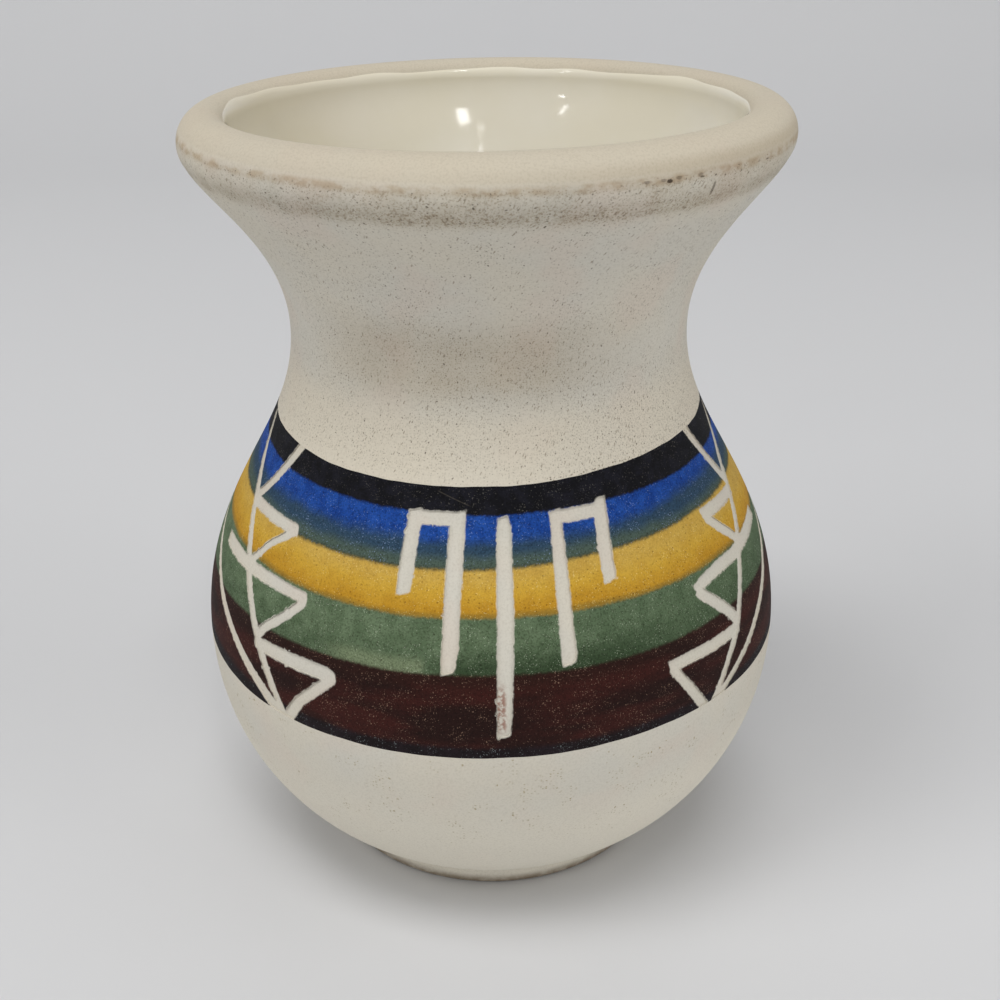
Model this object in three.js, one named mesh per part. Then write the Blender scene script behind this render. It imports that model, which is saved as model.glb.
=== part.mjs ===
// Small vase in pale clay: a turned body with a flared neck and a rolled lip, six bands of fired
// stain round the belly and a glaze run inside. Millimetres, +Z up, the foot stands on z = 0.
import * as THREE from "three";
import { mergeVertices } from "three/addons/utils/BufferGeometryUtils.js";

// Foot: a low upright wall with an eased edge, and the slope at which the belly leaves it
const footRadius = 23.7;
const footHeight = 3;
const footEase = 0.6;
const footSlope = THREE.MathUtils.degToRad(30);
const footReach = 9.9;

// Belly, at its widest
const bellyRadius = 39.3;
const bellyHeight = 31.9;
const bellyFullBelow = 13.3;
const bellyFullAbove = 19.3;

// Waist, the narrowest turn of the neck
const waistRadius = 25.5;
const waistHeight = 73.9;
const waistFullBelow = 15.2;
const waistFullAbove = 11.2;

// Rolled lip, a little narrower than the belly: turned over outwards and rounded off inside
const height = 102;
const lipInset = 2.1;
const lipRadius = bellyRadius - lipInset;
const lipRoll = 3.7;
const lipInnerRoll = 2.4;
const lipTuck = THREE.MathUtils.degToRad(32);
const flareSlope = THREE.MathUtils.degToRad(65);
const flareReach = 4.6;

// Wall and floor of the hollow
const wall = 4.2;
const floorThickness = 5;
const floorCorner = 10;
const floorFlatShare = 0.55;
const throatDepth = 14;

// Fired coats: stain outside, glaze inside, each let into the clay with room behind it
const coat = 0.4;
const coatClearance = 0.3;
const glazeEdge = THREE.MathUtils.degToRad(30);

// Stain bands: the lowest edge, and each band's width up the vase
const bandsStart = 33;
const blackBaseWidth = 1.6;
const maroonWidth = 8.5;
const greenWidth = 6.1;
const yellowWidth = 5.3;
const blueWidth = 5.3;
const blackShoulderWidth = 3.2;
const bands = [
  { name: "black_base_stripe", width: blackBaseWidth, colour: 0x1b1619, roughness: 0.72 },
  { name: "maroon_stripe", width: maroonWidth, colour: 0x3b1a1b, roughness: 0.72 },
  { name: "green_stripe", width: greenWidth, colour: 0x566f5b, roughness: 0.78 },
  { name: "yellow_stripe", width: yellowWidth, colour: 0xc39532, roughness: 0.78 },
  { name: "blue_stripe", width: blueWidth, colour: 0x264f93, roughness: 0.76 },
  { name: "black_shoulder_stripe", width: blackShoulderWidth, colour: 0x1f1f25, roughness: 0.72 },
];

// Facets: flats round the vase, and steps along the section
const flatsRound = 60;
const footSteps = 2;
const arcSteps = 4;
const lipSteps = 7;
const lipInnerSteps = 2;
const sideStep = 5.5;
const insideStep = 12;
const bandStep = 3;

const vector = (r, z) => new THREE.Vector2(r, z);

// Outside of the body, foot to lip, as three curves in radius and height
const lipCentre = vector(lipRadius - lipRoll, height - lipRoll);
const lipInnerCentre = vector(lipCentre.x, height - lipInnerRoll);
const footCentre = vector(footRadius - footEase, footEase);
const onCircle = (centre, radius, angle) =>
  vector(centre.x + radius * Math.cos(angle), centre.y + radius * Math.sin(angle));
const along = (from, angle, length) => onCircle(from, length, angle);

const footTop = vector(footRadius, footHeight);
const crease = onCircle(lipCentre, lipRoll, -lipTuck);
const sides = [
  new THREE.CubicBezierCurve(
    footTop,
    along(footTop, footSlope, footReach),
    vector(bellyRadius, bellyHeight - bellyFullBelow),
    vector(bellyRadius, bellyHeight),
  ),
  new THREE.CubicBezierCurve(
    vector(bellyRadius, bellyHeight),
    vector(bellyRadius, bellyHeight + bellyFullAbove),
    vector(waistRadius, waistHeight - waistFullBelow),
    vector(waistRadius, waistHeight),
  ),
  new THREE.CubicBezierCurve(
    vector(waistRadius, waistHeight),
    vector(waistRadius, waistHeight + waistFullAbove),
    along(crease, flareSlope + Math.PI, flareReach),
    crease,
  ),
];

// Radius at a height of the surface that lies a depth under the finished outside
function radiusUnder(depth, z) {
  const side = sides.find((curve) => z <= curve.v3.y) ?? sides.at(-1);
  let low = 0;
  let high = 1;
  for (let halving = 0; halving < 40; halving++) {
    const middle = (low + high) / 2;
    if (side.getPoint(middle).y < z) low = middle;
    else high = middle;
  }
  return side.getPoint(low).x - depth / side.getTangent(low).y;
}

// Points along the outside between two heights, a depth under it, with one at belly and waist
function run(from, to, depth, longestStep) {
  const between = (z) => (z - from) * (z - to) < 0;
  const stops = [from, ...sides.map((side) => side.v3.y).filter(between), to];
  stops.sort((a, b) => (a - b) * Math.sign(to - from));
  const heights = [from];
  for (let i = 1; i < stops.length; i++) {
    const start = stops[i - 1];
    const steps = Math.ceil(Math.abs(stops[i] - start) / longestStep);
    for (let k = 1; k <= steps; k++) heights.push(start + ((stops[i] - start) * k) / steps);
  }
  return heights.map((z) => vector(radiusUnder(depth, z), z));
}

function arc(centre, radius, from, to, steps) {
  return Array.from({ length: steps + 1 }, (_, i) =>
    onCircle(centre, radius, from + ((to - from) * i) / steps),
  );
}

// A line of points moved sideways, to the right of its direction; its foot stays on the axis
function shifted(points, distance) {
  return points.map((point, i) => {
    const before = points[Math.max(i - 1, 0)];
    const after = points[Math.min(i + 1, points.length - 1)];
    const direction = i === 0 ? vector(1, 0) : after.clone().sub(before).normalize();
    return vector(point.x + distance * direction.y, point.y - distance * direction.x);
  });
}

// Finished inside, from the middle of the floor up to an angle over the lip's inner round
function inside(edge) {
  const cornerTop = floorThickness + floorCorner;
  const throat = crease.y - throatDepth;
  const corner = vector(radiusUnder(wall, cornerTop), cornerTop);
  const throatPoint = vector(radiusUnder(wall, throat), throat);
  const mouth = onCircle(lipInnerCentre, lipInnerRoll, Math.PI);
  const bowl = new THREE.CubicBezierCurve(
    vector(0, floorThickness),
    vector(corner.x * floorFlatShare, floorThickness),
    vector(radiusUnder(wall, cornerTop - floorCorner / 2), cornerTop - floorCorner / 2),
    corner,
  );
  const slope = throatPoint.clone().sub(vector(radiusUnder(wall, throat - 1), throat - 1));
  const throatCurve = new THREE.CubicBezierCurve(
    throatPoint,
    throatPoint.clone().add(slope.multiplyScalar(throatDepth / 2)),
    vector(mouth.x, mouth.y - throatDepth / 3),
    mouth,
  );
  return [
    ...bowl.getPoints(arcSteps).slice(0, -1),
    ...run(cornerTop, throat, wall, insideStep),
    ...throatCurve.getPoints(arcSteps).slice(1),
    ...arc(lipInnerCentre, lipInnerRoll, Math.PI, edge, lipInnerSteps).slice(1),
  ];
}

// A closed body turned from its half section
function turned(section) {
  const lathe = new THREE.LatheGeometry(section, flatsRound);
  lathe.rotateX(Math.PI / 2);
  lathe.deleteAttribute("normal");
  lathe.deleteAttribute("uv");
  const shape = mergeVertices(lathe, 1e-4);
  const corners = Array.from(shape.index.array);
  const kept = [];
  for (let i = 0; i < corners.length; i += 3) {
    const [a, b, c] = corners.slice(i, i + 3);
    if (a !== b && b !== c && c !== a) kept.push(a, b, c);
  }
  shape.setIndex(kept);
  shape.computeVertexNormals();
  return shape;
}

const bandsEnd = bands.reduce((z, band) => z + band.width, bandsStart);

// Clay body: foot, belly, neck and lip in one, with a shallow channel that takes the bands
function clayBody() {
  const seat = coat + coatClearance;
  const channelStart = bandsStart - coatClearance;
  const channelEnd = bandsEnd + coatClearance;
  const glazeStop = Math.PI - glazeEdge;
  const step = glazeStop - coatClearance / lipInnerRoll;
  return turned([
    vector(0, 0),
    ...arc(footCentre, footEase, -Math.PI / 2, 0, footSteps),
    ...run(footTop.y, channelStart, 0, sideStep),
    ...run(channelStart, channelEnd, seat, sideStep),
    ...run(channelEnd, crease.y, 0, sideStep),
    ...arc(lipCentre, lipRoll, -lipTuck, Math.PI / 2, lipSteps).slice(1),
    ...arc(lipInnerCentre, lipInnerRoll, Math.PI / 2, step, lipInnerSteps).slice(1),
    ...shifted(inside(step), seat).reverse(),
  ]);
}

// Glaze inside: a glassy coat poured in and out again, from the floor to the lip's inner round
function glazeLining() {
  const surface = inside(Math.PI - glazeEdge);
  return turned([...shifted(surface, coat), ...surface.toReversed()]);
}

// One band of stain, laid on with a brush while the vase turned on the wheel
function stainBand(from, to) {
  return turned([
    ...run(from, to, 0, bandStep),
    ...run(to, from, coat, bandStep),
    vector(radiusUnder(0, from), from),
  ]);
}

function piece(name, geometry, colour, roughness) {
  const material = new THREE.MeshStandardMaterial({ color: colour, roughness, metalness: 0 });
  const mesh = new THREE.Mesh(geometry, material);
  mesh.name = name;
  return mesh;
}

const vase = new THREE.Group();
vase.add(piece("clay_body", clayBody(), 0xc6c0b0, 0.85));
vase.add(piece("glaze_lining", glazeLining(), 0xd6d0bd, 0.15));

const stripes = new THREE.Group();
let edge = bandsStart;
for (const band of bands) {
  stripes.add(piece(band.name, stainBand(edge, edge + band.width), band.colour, band.roughness));
  edge += band.width;
}
vase.add(stripes);

export default vase;
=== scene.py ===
"""Looks of a small round-bellied vase in pale clay, with brushed bands of stain and an incised figure.

Sizes are real ones. The foot stands on z = 0 at the origin and -Y faces the camera; azimuths run
from the front, positive towards +X.
"""
import math
import bpy
import numpy as np
from mathutils import Matrix, Vector


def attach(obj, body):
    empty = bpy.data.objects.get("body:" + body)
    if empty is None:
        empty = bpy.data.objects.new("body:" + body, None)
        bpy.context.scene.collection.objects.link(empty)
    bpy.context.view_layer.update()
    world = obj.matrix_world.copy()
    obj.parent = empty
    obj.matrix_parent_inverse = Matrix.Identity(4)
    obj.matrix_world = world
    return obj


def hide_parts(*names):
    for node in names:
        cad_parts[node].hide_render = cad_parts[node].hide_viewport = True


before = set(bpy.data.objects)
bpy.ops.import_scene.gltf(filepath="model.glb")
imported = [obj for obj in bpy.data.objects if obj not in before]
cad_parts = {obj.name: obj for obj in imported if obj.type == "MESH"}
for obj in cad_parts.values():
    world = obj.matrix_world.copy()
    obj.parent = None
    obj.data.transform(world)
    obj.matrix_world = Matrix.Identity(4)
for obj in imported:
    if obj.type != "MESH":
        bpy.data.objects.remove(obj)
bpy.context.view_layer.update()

# Clay body
# Foot, belly, neck and rolled lip are one hollow piece of pale earthenware, thrown on the wheel,
# sponged smooth and fired bare on the outside, so specks and dust have settled in its pores.
mm = 0.001
foot_radius = 23.7 * mm
foot_height = 3 * mm
foot_ease = 0.6 * mm
foot_slope = math.radians(30)
foot_reach = 9.9 * mm
belly_radius = 39.29 * mm
belly_height = 31.9 * mm
belly_full_below = 13.3 * mm
belly_full_above = 19.3 * mm
waist_radius = 25.5 * mm
waist_height = 73.9 * mm
waist_full_below = 15.2 * mm
waist_full_above = 11.2 * mm
rim_height = 101.53 * mm
lip_radius = 37.17 * mm
lip_roll = 3.65 * mm
lip_inner_roll = 2.4 * mm
lip_tuck = math.radians(32)
flare_slope = math.radians(65)
flare_reach = 4.6 * mm
mouth_rise = 0.47 * mm
mouth_rise_towards = math.radians(52)
mouth_rise_from = 80 * mm
mouth_rise_over = 18 * mm
wall = 4.2 * mm
floor_thickness = 5 * mm
floor_corner = 10 * mm
floor_flat_share = 0.55
throat_depth = 14 * mm
fine = 400
quarter = math.pi / 2


def on_circle(centre, radius, angle):
    return centre + radius * np.array([np.cos(angle), np.sin(angle)])


def arc(centre, radius, start, end, steps):
    angles = np.linspace(start, end, steps)
    return centre + radius * np.stack([np.cos(angles), np.sin(angles)], axis=1)


def drawn_curve(start, pull, push, end):
    """A cubic curve between two points of the section, as rows of radius and height."""
    t = np.linspace(0, 1, fine)[:, None]
    return (1 - t) ** 3 * start + 3 * t * (1 - t) ** 2 * pull + 3 * t**2 * (1 - t) * push + t**3 * end


lip_centre = np.array([lip_radius - lip_roll, rim_height - lip_roll])
lip_inner_centre = np.array([lip_centre[0], rim_height - lip_inner_roll])
foot_centre = np.array([foot_radius - foot_ease, foot_ease])
foot_top = np.array([foot_radius, foot_height])
crease = on_circle(lip_centre, lip_roll, -lip_tuck)
belly = np.array([belly_radius, belly_height])
waist = np.array([waist_radius, waist_height])
upwards = np.array([0, 1])
side = np.concatenate([
    drawn_curve(foot_top, on_circle(foot_top, foot_reach, foot_slope),
                belly - belly_full_below * upwards, belly),
    drawn_curve(belly, belly + belly_full_above * upwards,
                waist - waist_full_below * upwards, waist)[1:],
    drawn_curve(waist, waist + waist_full_above * upwards,
                on_circle(crease, -flare_reach, flare_slope), crease)[1:],
])
side_stretch = np.hypot(1, np.gradient(side[:, 0], side[:, 1]))
side_length = np.concatenate([[0], np.cumsum(np.hypot(*np.diff(side, axis=0).T))])


def outside(height, depth=0.0):
    """Radius at a height of the surface that lies a depth under the finished outside."""
    stretch = np.interp(height, side[:, 1], side_stretch)
    return np.interp(height, side[:, 1], side[:, 0]) - depth * stretch


def inside_line():
    """Finished inside from the middle of the floor up over the lip's inner round to the rim."""
    corner_top = floor_thickness + floor_corner
    half_corner = corner_top - floor_corner / 2
    throat = crease[1] - throat_depth
    corner = np.array([outside(corner_top, wall), corner_top])
    throat_point = np.array([outside(throat, wall), throat])
    below_throat = np.array([outside(throat - mm, wall), throat - mm])
    mouth = on_circle(lip_inner_centre, lip_inner_roll, math.pi)
    climb = (throat_point - below_throat) * throat_depth / (2 * mm)
    heights = np.linspace(corner_top, throat, fine)
    return np.concatenate([
        drawn_curve(np.array([0, floor_thickness]),
                    np.array([corner[0] * floor_flat_share, floor_thickness]),
                    np.array([outside(half_corner, wall), half_corner]), corner)[:-1],
        np.stack([outside(heights, wall), heights], axis=1),
        drawn_curve(throat_point, throat_point + climb,
                    mouth - throat_depth / 3 * upwards, mouth)[1:],
        arc(lip_inner_centre, lip_inner_roll, math.pi, quarter, fine)[1:],
    ])


inner = inside_line()
inner_length = np.concatenate([[0], np.cumsum(np.hypot(*np.diff(inner, axis=0).T))])
inner_slope = np.gradient(inner, inner_length, axis=0)
inner_slope[0] = (1, 0)


def inside(distance, depth=0.0):
    """Radius and height on the inside, a distance along it from the floor's middle and a depth
    into the wall."""
    r, z, slope_r, slope_z = (np.interp(distance, inner_length, part)
                              for part in (*inner.T, *inner_slope.T))
    return r + depth * slope_z, z - depth * slope_r


band_count = 6
border_heights = np.array([32.89, 34.4, 43.09, 49.25, 54.48, 59.83, 62.98]) * mm
border_tilts = np.array([-0.17, -0.38, 0.61, -0.45, 0.31, -0.15, 0.15]) * mm
border_sags = np.array([0.11, 0.24, -0.02, 0.02, 0.3, 0.16, 0.33]) * mm
border_sways = np.array([0.37, 0.33, -0.09, 0.5, 0.41, 0.22, 0.3]) * mm
border_wobble = 0.06 * mm


def border(number, azimuth):
    """Height of a brushed border: the brush rose and fell a little as the vase went round."""
    hand = np.random.default_rng(number)
    height = (border_heights[number] + border_tilts[number] * np.sin(azimuth)
              - border_sags[number] * np.cos(2 * azimuth) + border_sways[number] * np.sin(2 * azimuth))
    for waves in (7, 13, 23, 37, 61):
        lean = hand.uniform(0, math.tau)
        height = height + border_wobble * math.sqrt(7 / waves) * np.sin(waves * azimuth + lean) / 2
    return height


def solid(name, corners, *faces):
    """An object from rows of corners and arrays of faces of three or four corners each."""
    mesh = bpy.data.meshes.new(name)
    mesh.vertices.add(len(corners))
    mesh.vertices.foreach_set("co", corners.astype(np.float32).ravel())
    loops = np.concatenate([group.ravel() for group in faces])
    sizes = np.concatenate([np.full(len(group), group.shape[1]) for group in faces])
    mesh.loops.add(len(loops))
    mesh.loops.foreach_set("vertex_index", loops.astype(np.int32))
    mesh.polygons.add(len(sizes))
    mesh.polygons.foreach_set("loop_start", (np.cumsum(sizes) - sizes).astype(np.int32))
    mesh.update(calc_edges=True)
    mesh.validate()
    mesh.shade_smooth()
    mesh.set_sharp_from_angle(angle=math.radians(40))
    piece = bpy.data.objects.new(name, mesh)
    bpy.context.scene.collection.objects.link(piece)
    return piece


def around(radius, height, azimuth):
    """Corners at a radius and height for each azimuth; the mouth leans, a little higher on one
    side."""
    share = np.clip((height - mouth_rise_from) / mouth_rise_over, 0, 1)
    lean = share**2 * (3 - 2 * share) * mouth_rise / lip_centre[0]
    rise = lean * radius * np.cos(azimuth - mouth_rise_towards)
    place = np.broadcast_arrays(radius * np.sin(azimuth), -radius * np.cos(azimuth), height + rise)
    return np.stack(place, axis=-1)


def turned(name, rings, azimuth):
    """A closed body turned from rings of radius and height; its first and last rings are points
    on the axis."""
    corners = np.stack([around(radius, height, azimuth) for radius, height in rings[1:-1]])
    rows, columns = corners.shape[:2]
    number = np.arange(rows * columns).reshape(rows, columns)
    beside = np.roll(number, -1, axis=1)
    quads = np.stack([number[:-1], beside[:-1], beside[1:], number[1:]], axis=-1).reshape(-1, 4)
    ends = np.array([[0, 0, rings[0][1]], [0, 0, rings[-1][1]]])
    first, last = number.size, number.size + 1
    under = np.stack([np.full(columns, first), beside[0], number[0]], axis=1)
    over = np.stack([number[-1], beside[-1], np.full(columns, last)], axis=1)
    return solid(name, np.concatenate([corners.reshape(-1, 3), ends]), quads, under, over)


body_columns = 360
cut_depth = 0.18 * mm
glaze_seat = 0.12 * mm
seat_from = 1.4 * lip_inner_roll
seat_ramp = 0.5 * lip_inner_roll
body_azimuth = np.linspace(0, math.tau, body_columns, endpoint=False)
lowest_border = border(0, body_azimuth)
highest_border = border(band_count, body_azimuth)


def between(low, high, steps):
    return [low + (high - low) * k / steps for k in range(steps + 1)]


def clay_rings():
    """Rings of the clay from the foot's middle out, up, over the lip and down the inside."""
    rings = [(0.0, 0.0), (foot_radius / 2, 0.0)]
    rings += [tuple(p) for p in arc(foot_centre, foot_ease, -quarter, 0, 6)]
    rings += [(foot_radius, z) for z in between(foot_ease, foot_height, 3)[1:]]
    rings += [(outside(z), z) for z in between(foot_height, lowest_border, 60)[1:]]
    rings += [(outside(z, cut_depth), z) for z in between(lowest_border, highest_border, 40)]
    rings += [(outside(z), z) for z in between(highest_border, crease[1], 48)]
    rings += [tuple(p) for p in arc(lip_centre, lip_roll, -lip_tuck, quarter, 22)[1:]]
    inwards = inner_length[-1] * (1 - np.linspace(0, 1, 120)[1:] ** 2)
    rim_gap = inner_length[-1] - inwards
    seat = glaze_seat * np.clip((rim_gap - seat_from) / seat_ramp, 0, 1)
    rings += [inside(s, depth) for s, depth in zip(inwards, seat)]
    return rings


clay_body = turned("turned_clay_body", clay_rings(), body_azimuth)
unrolled_radius = 30


class Field:
    """One output socket of a finish's nodes; sums with it add Math nodes."""

    def __init__(self, finish, socket):
        self.finish = finish
        self.socket = socket

    def beside(self, output):
        """Another output of the node that this one comes from."""
        return Field(self.finish, self.socket.node.outputs[output])

    def maths(self, operation, *terms):
        numbered = dict(enumerate(terms))
        return self.finish.node("ShaderNodeMath", {"operation": operation}, numbered)

    def __add__(self, other):
        return self.maths("ADD", self, other)

    def __sub__(self, other):
        return self.maths("SUBTRACT", self, other)

    def __rsub__(self, other):
        return self.maths("SUBTRACT", other, self)

    def __mul__(self, other):
        return self.maths("MULTIPLY", self, other)

    def __abs__(self):
        return self.maths("ABSOLUTE", self)

    __radd__ = __add__
    __rmul__ = __mul__

    def rise(self, low, high):
        """0 under low, 1 over high and a smooth step between; falls where low is the larger."""
        limits = {"From Min": low, "From Max": high}
        settings = {"interpolation_type": "SMOOTHSTEP"}
        return self.finish.node("ShaderNodeMapRange", settings, {"Value": self, **limits})


class Finish:
    """A material and its nodes."""

    def __init__(self, name):
        self.material = bpy.data.materials.new(name)
        self.material.use_nodes = True
        self.tree = self.material.node_tree
        self.surface = self.tree.nodes["Principled BSDF"]
        place = self.node("ShaderNodeTexCoord", output="Object")
        self.place = self.node("ShaderNodeVectorMath", {"operation": "SCALE"},
                               {0: place, "Scale": 1 / mm})
        across = self.node("ShaderNodeSeparateXYZ", {}, {0: self.place}, "X")
        self.height = across.beside("Z")
        self.azimuth = across.maths("ARCTAN2", across, 0 - across.beside("Y"))
        self.unrolled = self.node("ShaderNodeCombineXYZ", {},
                                  {"X": self.azimuth * unrolled_radius, "Y": self.height})

    def node(self, kind, settings=None, sockets=None, output=0):
        """Adds a node: its settings first, then the values or links of its sockets."""
        made = self.tree.nodes.new(kind)
        for name, value in (settings or {}).items():
            setattr(made, name, value)
        for name, value in (sockets or {}).items():
            self.feed(made.inputs[name], value)
        return Field(self, made.outputs[output])

    def feed(self, socket, value):
        if isinstance(value, Field):
            self.tree.links.new(value.socket, socket)
        else:
            socket.default_value = value

    def set(self, **sockets):
        """Sets the surface's own sockets; an underscore stands for a space."""
        for name, value in sockets.items():
            self.feed(self.surface.inputs[name.replace("_", " ")], value)

    def mix(self, share, first, second):
        """Colours mixed: the first where the share is 0, the second where it is 1."""
        return self.node("ShaderNodeMix", {"data_type": "RGBA"}, {0: share, 6: first, 7: second}, 2)

    def tint(self, share, first, second):
        """The first colour multiplied by the second, by a share."""
        settings = {"data_type": "RGBA", "blend_type": "MULTIPLY"}
        return self.node("ShaderNodeMix", settings, {0: share, 6: first, 7: second}, 2)

    def noise(self, size, detail=2.0, stretch=(1, 1, 1), shift=0.0):
        """Cloudy noise about 0.5 whose features are a size across, in millimetres."""
        scaled = self.stretched(stretch, shift)
        return self.node("ShaderNodeTexNoise", {},
                         {"Vector": scaled, "Scale": 1 / size, "Detail": detail})

    def stretched(self, stretch, shift):
        return self.node("ShaderNodeVectorMath", {"operation": "MULTIPLY_ADD"},
                         {0: self.place, 1: stretch, 2: (shift, shift, shift)})

    def specks(self, spacing, radius, share):
        """Ragged dots in a share of cells of a spacing, all through the piece, in millimetres."""
        ragged = self.node("ShaderNodeTexNoise", {}, {"Vector": self.place, "Scale": 2.5 / radius},
                           output="Color")
        moved = self.node("ShaderNodeVectorMath", {"operation": "MULTIPLY_ADD"},
                          {0: ragged, 1: (radius,) * 3, 2: self.place})
        near = self.node("ShaderNodeTexVoronoi", {}, {"Vector": moved, "Scale": 1 / spacing})
        return self.drawn_by_lot(near, share, radius / spacing)

    def marks(self, length, breadth, size, share, slant=0.0, shift=0.0):
        """Marks on the turned surface in a share of cells of a length and breadth; size is their
        half length as a part of the cell's, and slant leans them over."""
        ragged = self.node("ShaderNodeTexNoise", {}, {"Vector": self.unrolled, "Scale": 2 / breadth},
                           output="Color")
        moved = self.node("ShaderNodeVectorMath", {"operation": "MULTIPLY_ADD"},
                          {0: ragged, 1: (breadth * 0.4,) * 3, 2: self.unrolled})
        cells = self.node("ShaderNodeMapping", {"vector_type": "TEXTURE"},
                          {"Vector": moved, "Location": (shift, shift, 0),
                           "Rotation": (0, 0, slant), "Scale": (length, breadth, 1)})
        near = self.node("ShaderNodeTexVoronoi", {"voronoi_dimensions": "2D"},
                         {"Vector": cells, "Scale": 1})
        return self.drawn_by_lot(near, share, size)

    def drawn_by_lot(self, near, share, reach):
        """Spots round the middles of a share of cells, some of them fainter."""
        lot = self.node("ShaderNodeSeparateColor", {}, {"Color": near.beside("Color")})
        strength = lot.beside("Green") * 0.7 + 0.3
        return near.rise(reach, reach * 0.45) * lot.rise(share, share - 0.04) * strength

    def bump(self, height, strength, distance):
        return self.node("ShaderNodeBump", {},
                         {"Height": height, "Strength": strength, "Distance": distance})


def shade(red, green, blue):
    """A colour as a screen shows it, 0 to 255, as the linear values that sockets take."""
    parts = [((c / 255 + 0.055) / 1.055) ** 2.4 if c > 10 else c / 255 / 12.92
             for c in (red, green, blue)]
    return (*parts, 1.0)


def clay_colour(finish):
    """Bare clay without its dirt: a warm pale body with faint grey and rosy clouds."""
    clouds = finish.noise(14, detail=3)
    rosy = finish.noise(9, shift=40)
    colour = finish.mix(clouds.rise(0.35, 0.65), shade(199, 193, 179), shade(196, 192, 181))
    return finish.mix(rosy.rise(0.48, 0.68) * 0.5, colour, shade(199, 188, 175))


clay = Finish("bare_clay")
height, azimuth = clay.height, clay.azimuth
smoke = clay.noise(5, detail=4, shift=15)
grain = clay.noise(0.25)
wisps = clay.noise(1.6, detail=3, stretch=(1, 1, 1.6), shift=25)
# Dust and painted shade under the rolled lip: its outer face, its underside and the crease below are
# darkened, partly by settled dust and partly by painted shade.
brow_dust_and_shade = height.rise(97.8, 98.6) * height.rise(99.4, 98.8)
under_brow_dust_and_shade = height.rise(93.6, 95.4) * height.rise(98.9, 98.3)
crease_dust_and_shade = height.rise(94.4, 95.4) * height.rise(97.2, 95.7)
# Dust and painted shade on the waist's front: the concave neck under the lip is darker there, partly by
# settled dust and partly by painted shade.
waist_dust_and_shade = (height.rise(70, 75) * height.rise(84, 78)
              * azimuth.rise(1.0, 0.1) * azimuth.rise(-1.0, -0.4))
# Cream tone on the lip's top and on the shoulder. On the upward-facing shoulder the lighter colour is also
# painted light.
cream_and_shoulder_light = height.rise(98.7, 99.6) + height.rise(73, 68) * height.rise(60, 63)
# Painted light: the lower belly is made lighter towards the foot, standing in for light from below.
painted_lower_belly_light = height.rise(30, 18)
right_half = azimuth.rise(-0.3, 0.9) * azimuth.rise(2.9, 2.0)
rim_haze = height.rise(98.4, 99) * height.rise(101, 99.8) * right_half
colour = clay.mix(cream_and_shoulder_light * 0.65, clay_colour(clay), shade(209, 200, 182))
colour = clay.mix(painted_lower_belly_light * 0.8, colour, shade(214, 208, 193))
colour = clay.tint(grain.rise(0.4, 0.75) * 0.14, colour, shade(150, 138, 120))
# Painted shade: the lip's top is darkened.
colour = clay.tint(height.rise(98.8, 99.6) * 0.8, colour, shade(232, 229, 224))
colour = clay.tint(rim_haze * 0.3, colour, shade(206, 192, 168))
# Dust and painted shade: the front of the waist is tinted darker.
colour = clay.tint(waist_dust_and_shade * (smoke.rise(0.2, 0.6) * 0.25 + 0.35), colour, shade(222, 213, 201))
# Dust and painted shade: the lip's underside, outer face and crease are tinted darker and browner.
colour = clay.tint(under_brow_dust_and_shade * (smoke.rise(0.3, 0.7) * 0.2 + 0.1), colour, shade(200, 186, 162))
colour = clay.tint(brow_dust_and_shade * (wisps.rise(0.35, 0.65) * 0.35 + 0.2), colour, shade(196, 168, 126))
colour = clay.tint(crease_dust_and_shade * (wisps.rise(0.3, 0.65) * 0.2 + 0.06), colour, shade(164, 148, 120))
grit = clay.noise(0.3, detail=3, shift=55)
in_front = azimuth.rise(-0.9, -0.1) * azimuth.rise(1.0, 0.45) * 0.6 + 0.4
gritty = (under_brow_dust_and_shade + crease_dust_and_shade) * in_front * (smoke.rise(0.3, 0.6) * 0.25 + 0.14)
colour = clay.tint(grit.rise(0.48, 0.68) * gritty, colour, shade(176, 158, 132))
# Dirt and painted contact shadow: the foot's lowest couple of millimetres turn dark brown, which makes a
# dark line where the foot meets the floor.
foot_dirt_and_contact_shade = height.rise(1.8, 0.4) * (wisps.rise(0.3, 0.6) * 0.3 + 0.6)
colour = clay.mix(foot_dirt_and_contact_shade, colour, shade(104, 88, 68))

neck = height.rise(62, 65) * height.rise(99.2, 98)
thick_specks = clay.noise(11, detail=2, shift=60).rise(0.42, 0.62)
to_the_right = azimuth.rise(0.0, 0.5) * azimuth.rise(2.9, 2.0)
shoulder = height.rise(77, 71) * height.rise(61, 64)
dusty = (under_brow_dust_and_shade * 0.35 + crease_dust_and_shade * 0.3) * in_front
crowded = dusty + shoulder * (to_the_right * 0.5 + 0.18) + waist_dust_and_shade * 0.35
faint = clay.marks(0.3, 0.3, 0.3, neck * (thick_specks * 0.35 + 0.3) + crowded, shift=3)
dark = clay.marks(0.52, 0.52, 0.2, neck * (thick_specks * 0.25 + 0.14) + crowded * 0.35, shift=17)
black = clay.marks(1.2, 1.2, 0.1, neck * (thick_specks * 0.35 + 0.18) + crowded * 0.4, shift=47)
ticks = clay.marks(1.4, 0.45, 0.22, neck * 0.18 + crowded * 0.3, slant=math.radians(62), shift=31)
strays = clay.specks(1.7, 0.11, 0.16)
olive_patches = (clay.noise(4, detail=3, shift=90).rise(0.5, 0.64)
                 * height.rise(33, 31.5) * height.rise(14, 22))
flecks = (clay.marks(0.34, 0.3, 0.34, olive_patches * 0.3, shift=60)
          + clay.marks(0.5, 1.0, 0.24, olive_patches * 0.3, shift=61))
dirt_brown, dirt_black, olive = shade(108, 92, 70), shade(70, 58, 44), shade(142, 126, 84)
colour = clay.mix(faint * 0.45, colour, dirt_brown)
colour = clay.mix(ticks * 0.6, colour, dirt_brown)
colour = clay.mix(dark * 0.6, colour, dirt_black)
colour = clay.mix(black * 0.85, colour, dirt_black)
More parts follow.
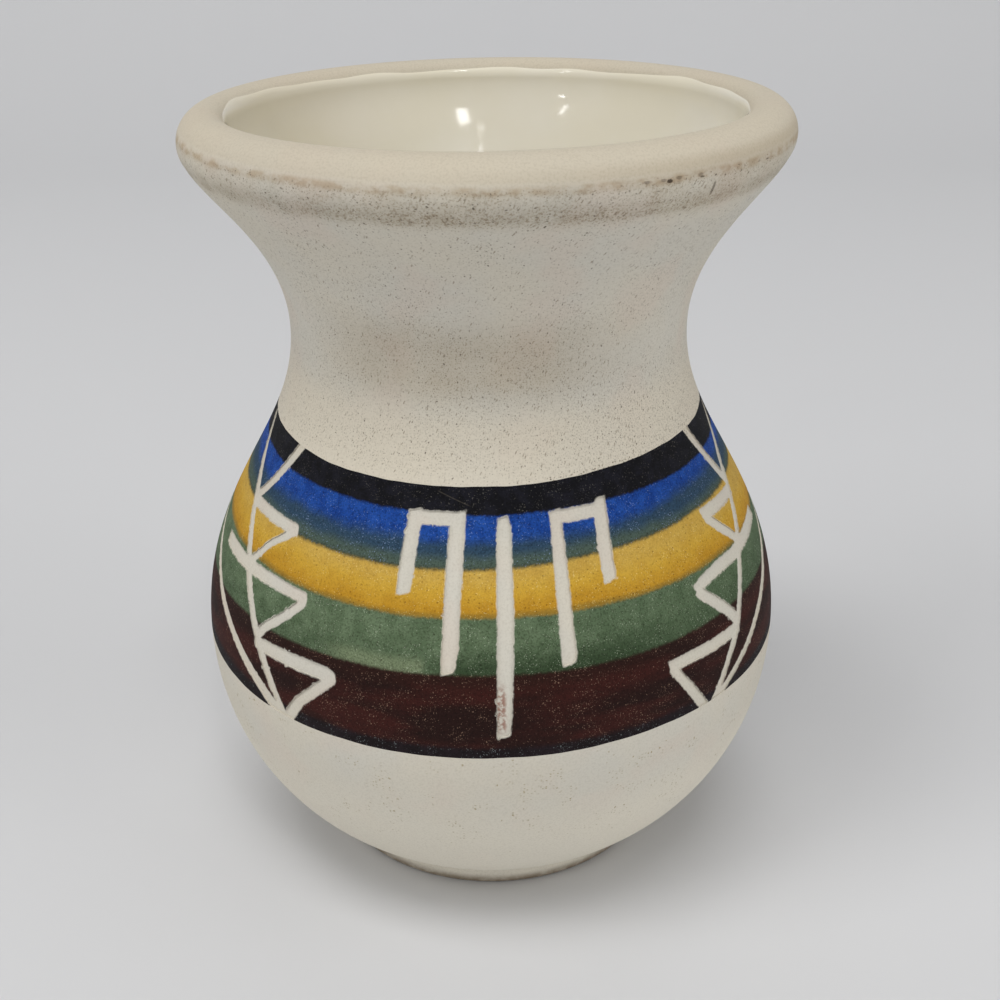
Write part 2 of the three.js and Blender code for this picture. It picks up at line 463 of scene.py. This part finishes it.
colour = clay.mix(strays * 0.4, colour, dirt_brown)
colour = clay.mix(flecks * 0.7, colour, olive)
stain_fringe = (height.rise(63.9, 63.1) * height.rise(62, 62.5)
                * azimuth.rise(0.15, 0.35) * azimuth.rise(1.2, 1.0))
fringe_dots = clay.marks(0.4, 0.3, 0.42, stain_fringe * 0.6, shift=22)
colour = clay.mix(fringe_dots * 0.8, colour, shade(84, 74, 50))
soot_line = height.rise(98.25, 98.45) * height.rise(98.95, 98.75)
soot_thick = (azimuth.rise(0.515, 0.53) * azimuth.rise(0.58, 0.565)
              + azimuth.rise(0.62, 0.635) * azimuth.rise(0.68, 0.665)) * 0.7 + 0.3
soot = soot_line * soot_thick * azimuth.rise(0.36, 0.4) * azimuth.rise(1.15, 0.85)
colour = clay.mix(clay.marks(0.8, 0.55, 0.75, soot, shift=14) * 0.35, colour, shade(140, 108, 74))
colour = clay.mix(clay.marks(0.8, 0.55, 0.5, soot, shift=14), colour, shade(44, 34, 25))
nail_mark = (azimuth.rise(0.68, 0.685) * azimuth.rise(0.695, 0.69)
             * height.rise(96, 96.5) * height.rise(97.8, 97.4))
colour = clay.mix(nail_mark * 0.6, colour, dirt_black)
smear = (azimuth.rise(0.005, 0.02) * azimuth.rise(0.05, 0.034)
         * height.rise(35.5, 37) * height.rise(43, 40))
smudge = clay.noise(0.45, detail=4, shift=70)
colour = clay.mix(smear * smudge.rise(0.36, 0.6) * 0.8, colour, shade(128, 80, 62))
fine_relief = clay.noise(0.3, detail=3, stretch=(0.4, 0.4, 1.5))
clay.set(Base_Color=colour, Roughness=0.88, Normal=clay.bump(fine_relief, 0.25, 0.05 * mm))
clay_body.data.materials.append(clay.material)
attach(clay_body, "root")
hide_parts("clay_body")

# Glaze lining
# A clear glossy glaze, poured in and out again before the firing: a glassy skin over the pale clay
# that ends in a wavy bead on the lip's inner round.
glaze_bead = 0.05 * mm
glaze_back = 0.35 * mm
bead_run = 0.7 * mm
bead_overhang = 0.2
bead_fade = 4 * mm
edge_below_rim = 2.3 * mm
edge_wave = 0.3 * mm


def glaze_edge(azimuth):
    hand = np.random.default_rng(31)
    edge = np.full(azimuth.shape, inner_length[-1] - edge_below_rim)
    for waves in (2, 3, 5, 8, 13, 21):
        edge = edge + edge_wave / math.sqrt(waves) * np.sin(waves * azimuth + hand.uniform(0, math.tau))
    return edge


def glaze_rings():
    """Rings of the lining: up its hidden back, round the bead at its edge, down to the floor."""
    edge = glaze_edge(body_azimuth)
    shares = np.linspace(0, 1, 60)
    rings = [inside(share * edge, glaze_back) for share in shares]
    for turn in np.linspace(0, quarter, 6):
        lift = -glaze_bead * math.sin(turn) + glaze_seat * (1 - math.sin(turn))
        rings.append(inside(edge + bead_run * (math.cos(turn) - 1 + bead_overhang), lift))
    swell = edge - bead_run
    for share in np.linspace(0, 1, 150)[1:]:
        distance = swell * (1 - share**2)
        fade = np.exp((distance - swell) / bead_fade)
        rings.append(inside(distance, -glaze_bead * fade))
    rings[0] = (0.0, float(rings[0][1][0]))
    rings[-1] = (0.0, float(rings[-1][1][0]))
    return rings


glaze_lining = turned("poured_glaze_lining", glaze_rings(), body_azimuth)
glaze = Finish("clear_glaze_over_clay")
pooled = glaze.noise(14, detail=3)
colour = glaze.mix(pooled.rise(0.3, 0.7), shade(221, 215, 199), shade(217, 210, 190))
# The lining's left side is tinted a little darker and browner.
browner_left_inside = glaze.azimuth.rise(-0.7, -1.5) * glaze.azimuth.rise(-2.9, -2.2)
colour = glaze.tint(browner_left_inside * 0.3, colour, shade(224, 212, 184))
glaze.set(Base_Color=colour, Roughness=0.5, Coat_Weight=1.0, Coat_Roughness=0.09, Coat_IOR=1.52,
          Normal=glaze.bump(glaze.noise(5, detail=2), 0.2, 0.25 * mm))
glaze_lining.data.materials.append(glaze.material)
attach(glaze_lining, "root")
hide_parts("glaze_lining")

# Stain bands
# Six bands of coloured stain were brushed on while the vase turned on the wheel, one against the
# next. The figure was then scratched through them into the clay with a loop tool, whose rough
# edges show the pale body.
front_strokes = [
    [(-17.4, 51.2, 1.7), (-17.3, 55, 1.75), (-17, 59.9, 1.5)],
    [(-18.2, 59.1, 1.5), (-12, 59.2, 1.6), (-6.2, 59.25, 1.6)],
    [(-7.2, 60, 1.7), (-7.35, 57, 1.85), (-7.5, 50, 1.9), (-7.5, 46, 1.85), (-7.85, 43.15, 1.5)],
    [(2.8, 59.5, 1.1), (2.85, 58.4, 1.6), (2.7, 50, 1.9), (2.2, 40, 1.75), (1.95, 35.6, 1.5)],
    [(14.7, 59.8, 1.3), (14.2, 52.6, 1.6), (14, 48, 1.65), (14, 45, 1.8), (13.9, 43.7, 1.5)],
    [(13.5, 59.1, 1.3), (18, 59.1, 1.55), (25.8, 59.15, 1.6)],
    [(26.1, 60.3, 1.1), (25.4, 59, 1.65), (24.5, 54.8, 1.65), (24.3, 51.7, 1.6)],
]
left_strokes = [
    [(-81, 62.9, 0.9), (-76, 59.4, 1), (-68.4, 55.4, 1.15), (-62.4, 51.25, 1.1),
     (-54.8, 45.35, 1.2), (-49, 40.6, 1.2), (-45.6, 37.4, 1.25), (-40.2, 32.3, 1)],
    [(-54.2, 63.4, 1.35), (-58.5, 60, 1.25), (-62.8, 56.75, 1.25), (-66, 54.8, 1.3)],
    [(-66.4, 54.2, 1.4), (-60, 54.25, 1.5), (-45.9, 54.3, 1.45)],
    [(-46.8, 54.1, 1.1), (-52.8, 51.7, 0.95), (-57.8, 48.4, 1.1)],
    [(-72.4, 47.8, 1.5), (-69, 47.8, 1.8), (-60, 47.8, 1.7), (-48, 48.1, 1.55), (-38.1, 48, 1.3)],
    [(-38.6, 47.6, 1.2), (-41.8, 45.6, 1.15), (-47.4, 42.7, 1.15), (-49.6, 41, 1.3)],
    [(-50, 40.2, 1.5), (-44, 40.35, 1.75), (-36, 40.5, 1.9), (-31, 40.5, 1.7), (-28.9, 40.3, 1.1)],
    [(-29.6, 40, 1.2), (-32.6, 38.3, 1.35), (-36.8, 35.6, 1.4), (-40, 32.3, 1.6)],
    [(-90, 49.3, 0.9), (-78, 45.6, 1), (-68, 42.05, 1.15), (-58, 38.65, 1.3), (-48, 35, 1.5),
     (-41.6, 32.4, 1.8)],
]
right_strokes = [
    [(86, 62.6, 0.9), (81.2, 60.25, 1), (74, 57, 1.15), (70.8, 54.35, 1.15), (66, 50.8, 1.1),
     (60.8, 47.2, 1.05), (56.4, 43.25, 0.95), (53.6, 40.4, 1.2), (48.8, 36.7, 1), (44.4, 32.6, 1.1)],
    [(60.2, 64.2, 1.2), (65.6, 59.8, 1.15), (68.8, 57.1, 1.3), (71, 55.2, 1.3)],
    [(53.3, 54.45, 1.3), (58, 54.2, 1.65), (64, 54.05, 1.6), (70.8, 53.9, 1.5)],
    [(54.2, 54.1, 1.3), (57.6, 52.2, 1.4), (61, 50.5, 1.3), (63.6, 49, 1.2)],
    [(43.6, 47.6, 1.1), (45.6, 47.85, 1.5), (49, 48.2, 1.6), (54, 48.4, 1.6), (60, 48.3, 1.65),
     (68, 48.6, 1.75), (78.6, 48.95, 1.7)],
    [(43.8, 47.4, 1.2), (45.6, 46.5, 1.45), (51, 43.5, 1.5), (54, 41.3, 1.5)],
    [(33.7, 40.4, 1.3), (38, 40.4, 1.5), (46, 40.35, 1.6), (54, 40.3, 1.5)],
    [(34.2, 40.2, 1.2), (36.2, 38.35, 1.2), (38, 36.75, 1.3), (42.3, 32.6, 1.4)],
    [(45.4, 32.7, 1.2), (50.4, 34.75, 0.95), (56.8, 36.9, 1), (64, 39.6, 1.15), (70.4, 41.8, 1.2),
     (76.8, 44.2, 1.1), (90, 48.6, 0.9)],
]
half_turn = 180
strokes = [
    [(math.radians(turn + sense * azimuth), height * mm, width * mm)
     for azimuth, height, width in stroke]
    for figure, placings in ((front_strokes, ((0, 1), (half_turn, 1))),
                             (left_strokes, ((0, 1), (-half_turn, -1))),
                             (right_strokes, ((0, 1), (half_turn, -1))))
    for turn, sense in placings for stroke in figure]
end_slant = math.radians(16)
end_round = 0.3 * mm
reach_round = math.radians(40)
band_columns = 1240
band_row = 0.2 * mm
nick = 0.038 * mm
burr_size = 0.3 * mm
burr_rarity = 1.25
hold_in_clay = 0.05 * mm
far_off = 1.0
nicks_low = 32 * mm
nick_rows = 170
tool_chatter = np.random.default_rng(5).normal(size=(nick_rows, band_columns))
for shift_axis in (0, 1):
    tool_chatter = (tool_chatter + np.roll(tool_chatter, 1, axis=shift_axis)
                    + np.roll(tool_chatter, -1, axis=shift_axis))
tool_chatter /= tool_chatter.std()


def chatter(azimuth, height):
    """Roughness of the tool's edge at a place on the bands, the same in every band."""
    column = (azimuth / math.tau * band_columns) % band_columns
    row = np.clip((height - nicks_low) / band_row, 0, nick_rows - 2)
    c, r = column.astype(int), row.astype(int)
    part_c, part_r = column - c, row - r
    c, right = c % band_columns, (c + 1) % band_columns
    low = tool_chatter[r, c] * (1 - part_c) + tool_chatter[r, right] * part_c
    high = tool_chatter[r + 1, c] * (1 - part_c) + tool_chatter[r + 1, right] * part_c
    return low * (1 - part_r) + high * part_r


def smooth_most(first, second, softness):
    """The larger of two distances, with their corner rounded off."""
    blend = np.clip(0.5 + 0.5 * (first - second) / softness, 0, 1)
    return second + (first - second) * blend + softness * blend * (1 - blend)


def clear_of_cuts(azimuth, height):
    """Distance from the nearest stroke's edge, negative inside the stroke. A stroke is round at
    its bends and cut off square, or a little aslant, at its ends."""
    radius = outside(height)
    climb = np.interp(height, side[:, 1], side_length)
    clear = np.full(azimuth.shape, far_off)
    for stroke in strokes:
        middle = math.fsum(a for a, z, w in stroke) / len(stroke)
        near = np.abs((azimuth - middle + math.pi) % math.tau - math.pi) < reach_round
        aside = radius[near] * ((azimuth[near] - middle + math.pi) % math.tau - math.pi)
        places = [(radius[near] * (a - middle), np.interp(z, side[:, 1], side_length), w)
                  for a, z, w in stroke]
        gap = np.full(aside.shape, far_off)
        for k, ((x0, y0, first), (x1, y1, last)) in enumerate(zip(places, places[1:])):
            run, lift = x1 - x0, y1 - y0
            length = np.hypot(run, lift)
            share = ((aside - x0) * run + (climb[near] - y0) * lift) / length**2
            low = -first / length if k == 0 else 0
            high = 1 + last / length if k == len(places) - 2 else 1
            held = np.clip(share, low, high)
            off = np.hypot(aside - x0 - held * run, climb[near] - y0 - held * lift)
            piece = off - (first + (last - first) * np.clip(share, 0, 1)) / 2
            across = ((climb[near] - y0) * run - (aside - x0) * lift) / length * math.tan(end_slant)
            if k == 0:
                piece = smooth_most(piece, -share * length - across, end_round)
            if k == len(places) - 2:
                piece = smooth_most(piece, (share - 1) * length + across, end_round)
            gap = np.minimum(gap, piece)
        clear[near] = np.minimum(clear[near], gap)
    rough = chatter(azimuth, height)
    return clear + nick * rough - burr_size * np.clip(rough - burr_rarity, 0, 1)


def trimmed_cells(number, beside, clear, crossings):
    """Faces of the cells that a stroke's edge runs through, cut along that edge."""
    triangles = []
    for row, column in zip(*np.nonzero(crossings)):
        above = row + 1
        ring = [(number[row, column], clear[row, column]),
                (beside[row, column], clear[row, column + 1]),
                (beside[above, column], clear[above, column + 1]),
                (number[above, column], clear[above, column])]
        kept = []
        for (here, c), (there, d) in zip(ring, ring[1:] + ring[:1]):
            if c >= 0:
                kept.append(int(here))
            if (c >= 0) != (d >= 0):
                kept.append((min(int(here), int(there)), max(int(here), int(there))))
        triangles += [(kept[0], kept[k], kept[k + 1]) for k in range(1, len(kept) - 1)]
    return triangles


def stain_coat(name, lower, upper):
    """A coat of stain between two borders, cut through where the strokes run. Its back is sunk a
    little in the clay."""
    azimuth = np.linspace(0, math.tau, band_columns, endpoint=False)
    low, high = border(lower, azimuth), border(upper, azimuth)
    rows = round((high - low).max() / band_row)
    shares = np.linspace(0, 1, rows + 1)[:, None]
    heights = low + (high - low) * shares
    azimuths = np.broadcast_to(azimuth, heights.shape)
    clear = clear_of_cuts(azimuths, heights)
    number = np.arange(heights.size).reshape(heights.shape)
    beside = np.roll(number, -1, axis=1)
    wrapped = np.concatenate([clear, clear[:, :1]], axis=1)
    kept = wrapped >= 0
    corners_kept = kept[:-1, :-1].astype(int) + kept[:-1, 1:] + kept[1:, 1:] + kept[1:, :-1]
    whole = corners_kept == 4
    quads = np.stack([number[:-1][whole], beside[:-1][whole], beside[1:][whole],
                      number[1:][whole]], axis=1)
    cut = trimmed_cells(number, beside, wrapped, (corners_kept > 0) & (corners_kept < 4))
    flat_azimuth, flat_height, flat_clear = azimuths.ravel(), heights.ravel(), clear.ravel()
    edges = sorted({corner for face in cut for corner in face if isinstance(corner, tuple)})
    order = {edge: heights.size + k for k, edge in enumerate(edges)}
    cut = np.array([[order.get(corner, corner) for corner in face] for face in cut])
    a, b = np.array(edges).T
    share = flat_clear[a] / (flat_clear[a] - flat_clear[b])
    step = (flat_azimuth[b] - flat_azimuth[a] + math.pi) % math.tau - math.pi
    flat_azimuth = np.concatenate([flat_azimuth, flat_azimuth[a] + share * step])
    flat_height = np.concatenate([flat_height, flat_height[a]
                                  + share * (flat_height[b] - flat_height[a])])
    flat_clear = np.concatenate([flat_clear, np.zeros(len(edges))])
    used, faces = np.unique(np.concatenate([quads.ravel(), cut.ravel()]), return_inverse=True)
    quads, cut = faces[:quads.size].reshape(-1, 4), faces[quads.size:].reshape(-1, 3)
    azimuth, height, clear = flat_azimuth[used], flat_height[used], flat_clear[used]
    sides = np.concatenate([np.stack([group, np.roll(group, -1, axis=1)], axis=-1).reshape(-1, 2)
                            for group in (quads, cut)])
    count = len(used)
    codes = sides[:, 0] * count + sides[:, 1]
    loose = sides[~np.isin(codes, sides[:, 1] * count + sides[:, 0])]
    walls = np.stack([loose[:, 1], loose[:, 0], loose[:, 0] + count, loose[:, 1] + count], axis=1)
    front = around(outside(height), height, azimuth)
    sunk = around(outside(height, cut_depth + hold_in_clay), height, azimuth)
    coat = solid(name, np.concatenate([front, sunk]), quads, cut,
                 quads[:, ::-1] + count, cut[:, ::-1] + count, walls)
    for title, values in (("over_lower_border", (height - border(lower, azimuth)) / mm),
                          ("under_upper_border", (border(upper, azimuth) - height) / mm),
                          ("clear_of_cut", clear / mm)):
        layer = coat.data.attributes.new(title, "FLOAT", "POINT")
        layer.data.foreach_set("value", np.tile(values, 2).astype(np.float32))
    layer = coat.data.attributes.new("in_the_cut", "FLOAT", "POINT")
    layer.data.foreach_set("value", np.repeat([0, 1], count).astype(np.float32))
    return coat


def black_stain(stain, over, under):
    scratch_height, scratch_slope = 59.77, 10.6
    off_scratch = abs(stain.height + stain.azimuth * scratch_slope - scratch_height)
    scratch = (off_scratch.rise(0.09, 0.03)
               * stain.azimuth.rise(-0.22, -0.2) * stain.azimuth.rise(-0.07, -0.1))
    colour = stain.mix(stain.noise(1.5, detail=3).rise(0.4, 0.65), shade(14, 14, 18), shade(23, 23, 30))
    return stain.mix(scratch * 0.2, colour, shade(120, 112, 100))


def blue_stain(stain, over, under):
    heavier_side = stain.azimuth.rise(0.5, 0.85) * stain.azimuth.rise(2.2, 1.8)
    wander = stain.noise(3.5, detail=3) - 0.5 + heavier_side * 0.5
    colour = stain.mix(stain.noise(1.6, detail=3).rise(0.35, 0.65), shade(21, 58, 130), shade(32, 73, 150))
    colour = stain.mix((under + wander * 1.5).rise(1.7, 3.4), colour, shade(44, 66, 86))
    colour = stain.mix((over + wander).rise(2.1, 0.7) * 0.85, colour, shade(74, 88, 74))
    return stain.mix(over.rise(0.6, 0.1) * 0.5, colour, shade(66, 64, 38))


def yellow_stain(stain, over, under):
    clouds = stain.noise(5, detail=2) - 0.5
    colour = stain.mix((over + clouds * 2).rise(2.2, 4.6), shade(193, 154, 55), shade(189, 155, 72))
    colour = stain.mix((over + clouds * 2).rise(3.2, 0.4), colour, shade(178, 133, 37))
    colour = stain.mix((over + clouds * 0.6).rise(0.8, 0.2) * 0.65, colour, shade(120, 100, 46))
    return stain.tint(stain.noise(1.4, detail=3).rise(0.4, 0.7) * 0.2, colour, shade(196, 170, 110))


def green_stain(stain, over, under):
    mottle = stain.noise(1.8, detail=4)
    middle = stain.azimuth.rise(-0.2, -0.1) * stain.azimuth.rise(0.7, 0.4)
    worn = stain.azimuth.rise(-0.6, -0.45) * stain.azimuth.rise(-0.2, -0.23) * over.rise(2.2, 0.8)
    thicker = stain.azimuth.rise(-0.1, 0.4) * stain.azimuth.rise(2.6, 2.0) * 0.35
    colour = stain.mix(mottle.rise(0.3, 0.7), shade(81, 98, 72), shade(97, 114, 87))
    colour = stain.mix(thicker, colour, shade(66, 84, 60))
    pooled = (over + mottle * 1.5).rise(4.6, 1.2) * (middle * 0.5 + 0.35)
    colour = stain.mix(pooled, colour, shade(42, 58, 36))
    return stain.mix(worn * 0.75, colour, shade(118, 130, 100))


def maroon_stain(stain, over, under):
    patches = stain.noise(3.6, detail=2, stretch=(0.25, 0.25, 1.3))
    colour = stain.mix(patches.rise(0.36, 0.64), shade(33, 16, 13), shade(54, 23, 19))
    return stain.mix(under.rise(2.4, 0.6) * 0.7, colour, shade(35, 19, 14))


def base_stain(stain, over, under):
    return stain.mix(stain.noise(2, detail=3).rise(0.35, 0.7), shade(22, 15, 17), shade(30, 22, 26))


bands = [
    ("black_base_stripe", "stain_black_base", base_stain, 0.4, (150, 160, 160)),
    ("maroon_stripe", "stain_maroon", maroon_stain, 0.5, (178, 146, 124)),
    ("green_stripe", "stain_green", green_stain, 0.3, (186, 196, 172)),
    ("yellow_stripe", "stain_yellow", yellow_stain, 0.25, (232, 214, 150)),
    ("blue_stripe", "stain_blue", blue_stain, 0.3, (150, 172, 210)),
    ("black_shoulder_stripe", "stain_black", black_stain, 0.2, (118, 114, 106)),
]
dark_grains = {"stain_yellow": 0.5, "stain_green": 0.4, "stain_blue": 0.25}
usual_grain, smoother_grain = 0.65, {"stain_yellow": 0.3}
past_border = 3


def stain_finish(number):
    """The finish of one band, which runs into its neighbours across softly brushed borders."""
    _, slot, paint, soft_below, glint = bands[number]
    stain = Finish(slot)
    over, under, clear, in_cut = (
        stain.node("ShaderNodeAttribute", {"attribute_name": title}, output="Fac")
        for title in ("over_lower_border", "under_upper_border", "clear_of_cut", "in_the_cut"))
    drag = (stain.noise(0.5, detail=2) - 0.5) * 0.4
    colour = paint(stain, over, under)
    if number > 0:
        below = bands[number - 1][2](stain, over + past_border, 0 - over)
        colour = stain.mix((over + drag).rise(-soft_below, soft_below), below, colour)
    if number < band_count - 1:
        soft = bands[number + 1][3]
        above = bands[number + 1][2](stain, 0 - under, under + past_border)
        colour = stain.mix((drag - under).rise(-soft, soft), colour, above)
    grain = stain.noise(0.22, detail=3)
    grained = grain.rise(0.42, 0.7) * smoother_grain.get(slot, usual_grain)
    colour = stain.tint(grained, colour, shade(160, 156, 150))
    pored = dark_grains.get(slot, 0.0) * (over.rise(5, 0.5) * 0.5 + 0.5)
    pores = stain.marks(0.55, 0.5, 0.22, pored)
    colour = stain.tint(pores * 0.6, colour, shade(130, 110, 90))
    strewn = stain.noise(2, detail=3, shift=12).rise(0.35, 0.65) * 0.07
    glints = (stain.noise(0.17, detail=2, shift=5) + strewn).rise(0.67, 0.76)
    colour = stain.mix(glints * 0.42, colour, shade(*glint))
    worn = clear.rise(0.18, 0.02) * (stain.noise(0.8, shift=9).rise(0.35, 0.6) * 0.5 + 0.2)
    bare = clay_colour(stain)
    colour = stain.mix(worn, colour, bare)
    colour = stain.mix(in_cut.rise(0.1, 0.4), colour, bare)
    stain.set(Base_Color=colour, Roughness=0.85, Specular_IOR_Level=0.25,
              Normal=stain.bump(grain, 0.5, 0.05 * mm))
    return stain.material


for number, (node, slot, *_) in enumerate(bands):
    coat = stain_coat("brushed_" + node, number, number + 1)
    coat.data.materials.append(stain_finish(number))
    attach(coat, "root")
    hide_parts(node)

# Floor and backdrop
# The vase stands on a wide sheet of pale grey paper that curves up behind it.
sweep_half_width = 1.6
sweep_front = -1.2
sweep_back = 0.42
cove_radius = 0.5
sweep_top = 1.3
cove_centre = np.array([sweep_back, cove_radius])
sweep_line = np.concatenate([
    [[sweep_front, 0]],
    arc(cove_centre, cove_radius, -quarter, 0, 24),
    [[sweep_back + cove_radius, sweep_top]],
])
sweep_corners = np.array([(x, y, z) for x in (-sweep_half_width, sweep_half_width)
                          for y, z in sweep_line])
near_edge = np.arange(len(sweep_line) - 1)
far_edge = near_edge + len(sweep_line)
sweep = solid("paper_sweep", sweep_corners,
              np.stack([near_edge, far_edge, far_edge + 1, near_edge + 1], axis=1))
paper = Finish("pale_grey_paper")
paper.set(Base_Color=shade(204, 204, 205), Roughness=0.95)
sweep.data.materials.append(paper.material)

# Camera
# A hand-held shot from close by, looking down on the vase.
camera_data = bpy.data.cameras.new("camera")
camera_data.sensor_width = 36
camera_data.lens = 48.92
camera_data.clip_start = 0.01
camera = bpy.data.objects.new("camera", camera_data)
bpy.context.scene.collection.objects.link(camera)
camera_place = Vector((0.19, -168.80, 129.83)) * mm
look_down, camera_roll, camera_yaw = (math.radians(angle) for angle in (26.08, -0.35, 0.38))
ahead = Vector((math.sin(camera_yaw) * math.cos(look_down),
                math.cos(camera_yaw) * math.cos(look_down), -math.sin(look_down)))
level_right = Vector((math.cos(camera_yaw), -math.sin(camera_yaw), 0))
level_up = level_right.cross(ahead)
right = level_right * math.cos(camera_roll) + level_up * math.sin(camera_roll)
up = level_up * math.cos(camera_roll) - level_right * math.sin(camera_roll)
facing = Matrix((right, up, -ahead)).transposed().to_4x4()
camera.matrix_world = Matrix.Translation(camera_place) @ facing
bpy.context.scene.camera = camera

# Light
# A wide soft lamp high up in front, weaker ones at the sides, low down and behind, and four small
# bright panes that show as highlights in the glaze. The sky is seen brighter than it lights.
world = bpy.data.worlds.new("studio")
world.use_nodes = True
world.node_tree.nodes["Background"].inputs["Color"].default_value = (0.97, 0.985, 1.0, 1.0)
bpy.context.scene.world = world
sky_light, sky_seen = 0.18, 0.45


class Sky(Finish):
    """The world, whose nodes are made as a finish's are."""

    def __init__(self, tree):
        self.tree = tree
        self.surface = tree.nodes["Background"]


sky = Sky(world.node_tree)
seen = sky.node("ShaderNodeLightPath", output="Is Camera Ray")
seen = seen + seen.beside("Is Glossy Ray") + seen.beside("Is Transmission Ray")
sky.set(Strength=seen.rise(0, 1) * (sky_seen - sky_light) + sky_light)
lit_middle = Vector((0, 0, 0.05))


def lamp(name, azimuth, elevation, distance, width, depth, power, reflected=False):
    """A lamp in a direction from the vase's middle, in degrees, that faces the vase; a reflected
    one shows in the glaze."""
    data = bpy.data.lights.new(name, "AREA")
    data.shape = "RECTANGLE"
    data.size, data.size_y = width, depth
    data.energy = power
    made = bpy.data.objects.new(name, data)
    bpy.context.scene.collection.objects.link(made)
    turn, lift = math.radians(azimuth), math.radians(elevation)
    outwards = Vector((math.sin(turn) * math.cos(lift), -math.cos(turn) * math.cos(lift), math.sin(lift)))
    facing = outwards.to_track_quat("Z", "Y").to_matrix().to_4x4()
    made.matrix_world = Matrix.Translation(lit_middle + outwards * distance) @ facing
    made.visible_camera = False
    made.visible_glossy = reflected


lamp("high_soft_lamp", -22, 72, 1.3, 0.95, 0.42, 8.6)
lamp("left_soft_lamp", -65, 45, 1.3, 0.5, 0.4, 2.7)
lamp("right_soft_lamp", 73, 36, 1.3, 0.7, 0.7, 2.6)
lamp("high_back_lamp", 170, 62, 1.1, 0.7, 0.4, 1.2)
lamp("low_right_lamp", 58, 7, 1.25, 0.5, 0.28, 2.8)
lamp("low_left_lamp", -75, 8, 1.25, 0.5, 0.28, 2.9)
lamp("low_front_lamp", 5, 6, 1.2, 0.5, 0.24, 2.3)
lamp("right_pane", 15, 51.5, 1.3, 0.1, 0.2, 0.9, reflected=True)
lamp("right_small_pane", 4, 57.3, 1.3, 0.05, 0.014, 0.035, reflected=True)
lamp("left_pane", -47, 44, 1.3, 0.03, 0.16, 0.25, reflected=True)
lamp("left_small_pane", -41, 31, 1.3, 0.06, 0.05, 0.22, reflected=True)

bpy.context.scene.view_settings.view_transform = "Standard"
